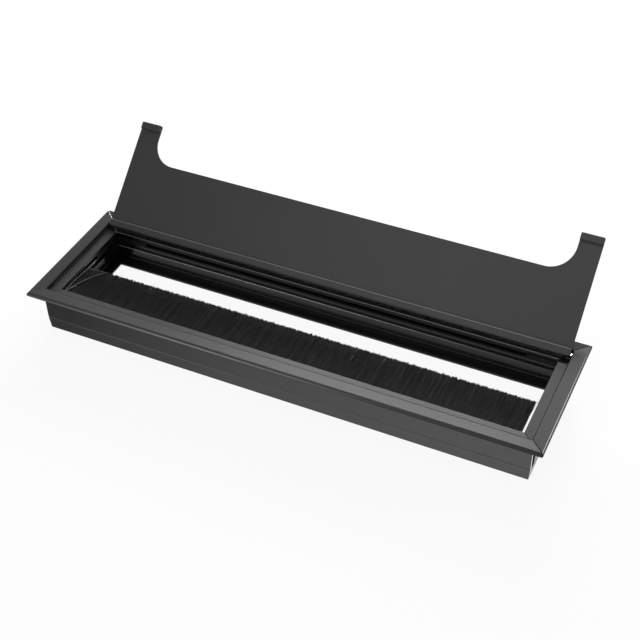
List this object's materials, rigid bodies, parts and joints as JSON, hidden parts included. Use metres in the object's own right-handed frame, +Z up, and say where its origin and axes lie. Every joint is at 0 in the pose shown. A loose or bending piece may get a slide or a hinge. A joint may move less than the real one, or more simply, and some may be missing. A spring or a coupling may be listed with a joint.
{
  "type": "cable grommet",
  "caption": "Rectangular black aluminium desk cable grommet: a mitred frame with a flip-up lid, a wide cable notch in the lid and a brush strip that closes it.",
  "frame": {"origin": "middle of the desk cut-out, on the desk's surface, which is the underside of the flange", "axes": "+X along the frame, +Y to the hinge side, +Z up out of the desk"},
  "size_m": [0.28, 0.1152, 0.0671],
  "materials": {
    "rail_coat": "satin",
    "lid_coat": "satin",
    "key_coat": "matte",
    "screw_steel": "satin",
    "pin_steel": "satin",
    "brush_strip": "satin",
    "bristle_fibre": "matte"
  },
  "bodies": {
    "frame": {"front_rail": "rail_coat", "rear_rail": "rail_coat", "left_rail": "rail_coat", "right_rail": "rail_coat", "corner_key_front_left": "key_coat", "corner_key_front_right": "key_coat", "corner_key_rear_left": "key_coat", "corner_key_rear_right": "key_coat", "key_screw_front_left_long": "screw_steel", "key_screw_front_left_short": "screw_steel", "key_screw_front_right_long": "screw_steel", "key_screw_front_right_short": "screw_steel", "key_screw_rear_left_long": "screw_steel", "key_screw_rear_left_short": "screw_steel", "key_screw_rear_right_long": "screw_steel", "key_screw_rear_right_short": "screw_steel", "hinge_pin_left": "pin_steel", "hinge_pin_right": "pin_steel", "brush_backing": "brush_strip", "bristles": "bristle_fibre"},
    "lid": {"lid": "lid_coat"}
  },
  "joints": [
    {"name": "lid_hinge", "type": "hinge", "parent": "frame", "child": "lid", "pos_m": [0, 0.02986, 0.0011], "axis": [-1, 0, 0], "range_deg": [-138, 0]}
  ]
}
